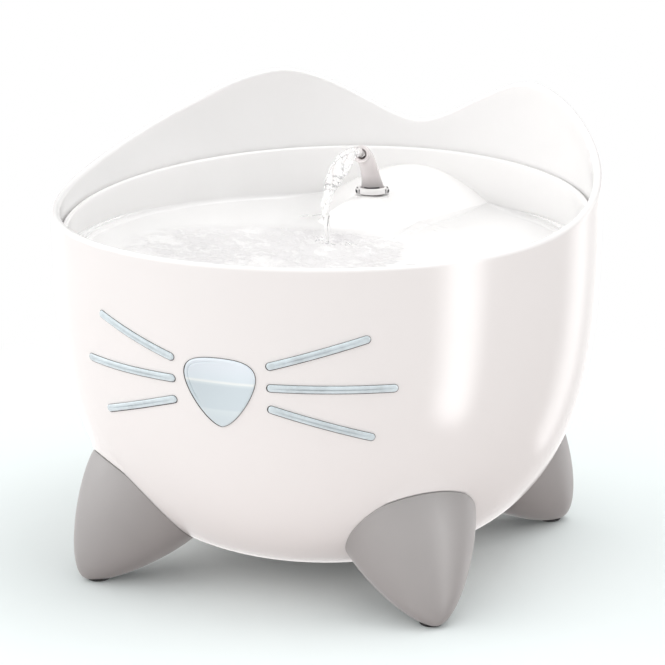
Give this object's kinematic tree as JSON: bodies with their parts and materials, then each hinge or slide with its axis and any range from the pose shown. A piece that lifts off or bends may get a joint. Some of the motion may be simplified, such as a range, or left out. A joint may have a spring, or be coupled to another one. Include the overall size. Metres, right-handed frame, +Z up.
{
  "type": "pet water fountain",
  "caption": "Round pet drinking fountain: eared bowl with face windows on tapered feet, tilted drinking dish, swivelling spout, pump, filter hood and cartridge",
  "frame": {"origin": "on the floor under the middle of the bowl", "axes": "+Z up, the face looks along -Y, +X to the face viewer's right"},
  "size_m": [0.23, 0.2299, 0.1913],
  "materials": {
    "white_shell": "glossy white",
    "icy_window": "translucent icy blue",
    "grey_foot": "satin warm grey",
    "black_rubber": "matt",
    "grey_rubber": "matt",
    "zinc_screw": "zinc plated",
    "pump_white": "satin",
    "potting": "potting resin",
    "shaft_ceramic": "polished",
    "magnet_grey": "moulded ferrite",
    "blade_blue": "satin",
    "clear_tube": "clear",
    "board_green": "circuit board",
    "hood_grey": "satin light grey",
    "cartridge_white": "satin",
    "foam_grey": "open foam",
    "carbon_black": "granules",
    "resin_amber": "beads",
    "dish_white": "glossy white",
    "collar_dark": "dark polished",
    "spout_grey": "satin pale grey"
  },
  "bodies": {
    "base": {"reservoir_bowl": "white_shell", "nose_window": "icy_window", "whisker_upper_left": "icy_window", "whisker_middle_left": "icy_window", "whisker_lower_left": "icy_window", "whisker_upper_right": "icy_window", "whisker_middle_right": "icy_window", "whisker_lower_right": "icy_window", "foot_front_left": "grey_foot", "foot_front_right": "grey_foot", "foot_rear_left": "grey_foot", "foot_rear_right": "grey_foot", "pad_front_left": "black_rubber", "pad_front_right": "black_rubber", "pad_rear_left": "black_rubber", "pad_rear_right": "black_rubber", "foot_screws": "zinc_screw", "cable_grommet": "grey_rubber"},
    "pump_unit": {"pump_housing": "pump_white", "pump_faceplate": "pump_white", "pump_stator": "potting", "rotor_shaft": "shaft_ceramic", "bush_front": "black_rubber", "bush_rear": "black_rubber", "suction_cups": "black_rubber", "riser_tube": "clear_tube", "light_board": "board_green", "light_lens": "clear_tube", "pump_cable_gland": "black_rubber"},
    "rotor": {"rotor_magnet": "magnet_grey", "impeller": "blade_blue"},
    "hood": {"filter_hood": "hood_grey"},
    "cartridge": {"cartridge_frame": "cartridge_white", "cartridge_foam": "foam_grey", "cartridge_carbon": "carbon_black", "cartridge_resin": "resin_amber"},
    "dish": {"drinking_dish": "dish_white", "spout_collar": "collar_dark"},
    "spout": {"spout": "spout_grey", "spout_seal": "black_rubber"}
  },
  "joints": [
    {"name": "pump_lift", "type": "slide", "parent": "base", "child": "pump_unit", "axis": [0, 0, 1], "range_m": [0, 0.03]},
    {"name": "rotor_spin", "type": "hinge", "parent": "pump_unit", "child": "rotor", "pos_m": [0, 0.05, 0.042], "axis": [0, 1, 0], "continuous": true},
    {"name": "hood_lift", "type": "slide", "parent": "pump_unit", "child": "hood", "axis": [0, 0, 1], "range_m": [0, 0.045]},
    {"name": "cartridge_lift", "type": "slide", "parent": "hood", "child": "cartridge", "axis": [0, 0, 1], "range_m": [0, 0.045]},
    {"name": "dish_lift", "type": "slide", "parent": "cartridge", "child": "dish", "axis": [0, 0, 1], "range_m": [0, 0.08]},
    {"name": "spout_turn", "type": "hinge", "parent": "dish", "child": "spout", "pos_m": [0, 0.0544, 0.1484], "axis": [0, 0, 1], "range_deg": [-90, 90]}
  ]
}
